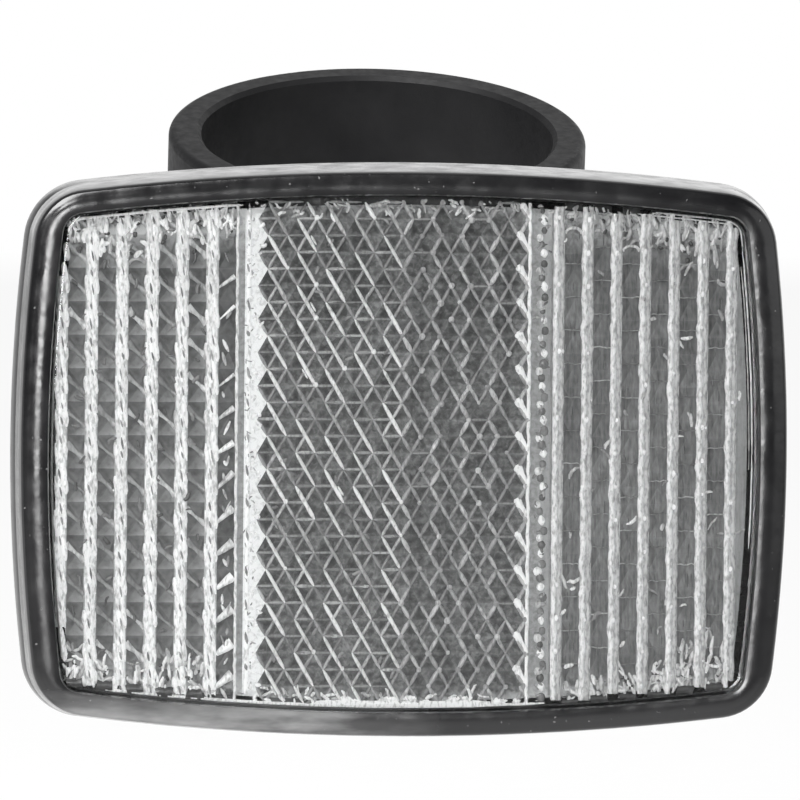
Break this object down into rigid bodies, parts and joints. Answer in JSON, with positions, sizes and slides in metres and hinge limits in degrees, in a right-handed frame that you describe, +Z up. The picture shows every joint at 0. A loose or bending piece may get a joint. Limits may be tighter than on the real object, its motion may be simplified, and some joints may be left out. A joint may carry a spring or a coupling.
{
  "type": "bicycle rear reflector",
  "caption": "Prismatic reflector in a black barrel-shaped housing on a tilting arm and post clamp, for a bicycle's seat post.",
  "frame": {"origin": "centre of the clamp's bore, halfway up the band", "axes": "+Z up in use, -Y the way the lens looks (to the rear of the bicycle), +X to the right as the lens is seen; the bore's axis leans 17 degrees from +Z towards -Y"},
  "size_m": [0.07, 0.0599, 0.0589],
  "materials": {
    "black_plastic": "semi-gloss moulded black",
    "bracket_plastic": "fine matte moulded black",
    "clear_lens": "clear moulded acrylic, polished front, prismatic back",
    "zinc_steel": "bright zinc plate"
  },
  "bodies": {
    "clamp": {"clamp_band": "bracket_plastic", "clamp_bolt": "zinc_steel", "clamp_plain_washer": "zinc_steel", "clamp_spring_washer": "zinc_steel", "clamp_nut": "zinc_steel"},
    "arm": {"bracket_arm": "bracket_plastic"},
    "reflector": {"housing": "black_plastic", "lens": "clear_lens", "stud_bolt": "zinc_steel", "stud_plain_washer": "zinc_steel", "stud_spring_washer": "zinc_steel", "stud_nut": "zinc_steel"}
  },
  "joints": [
    {"name": "arm_tilt", "type": "hinge", "parent": "clamp", "child": "arm", "pos_m": [0, -0.02391, -0.00731], "axis": [1, 0, 0], "range_deg": [-40, 20]},
    {"name": "reflector_swivel", "type": "hinge", "parent": "arm", "child": "reflector", "pos_m": [0, -0.03, -0.02181], "axis": [0, 1, 0], "continuous": true}
  ]
}
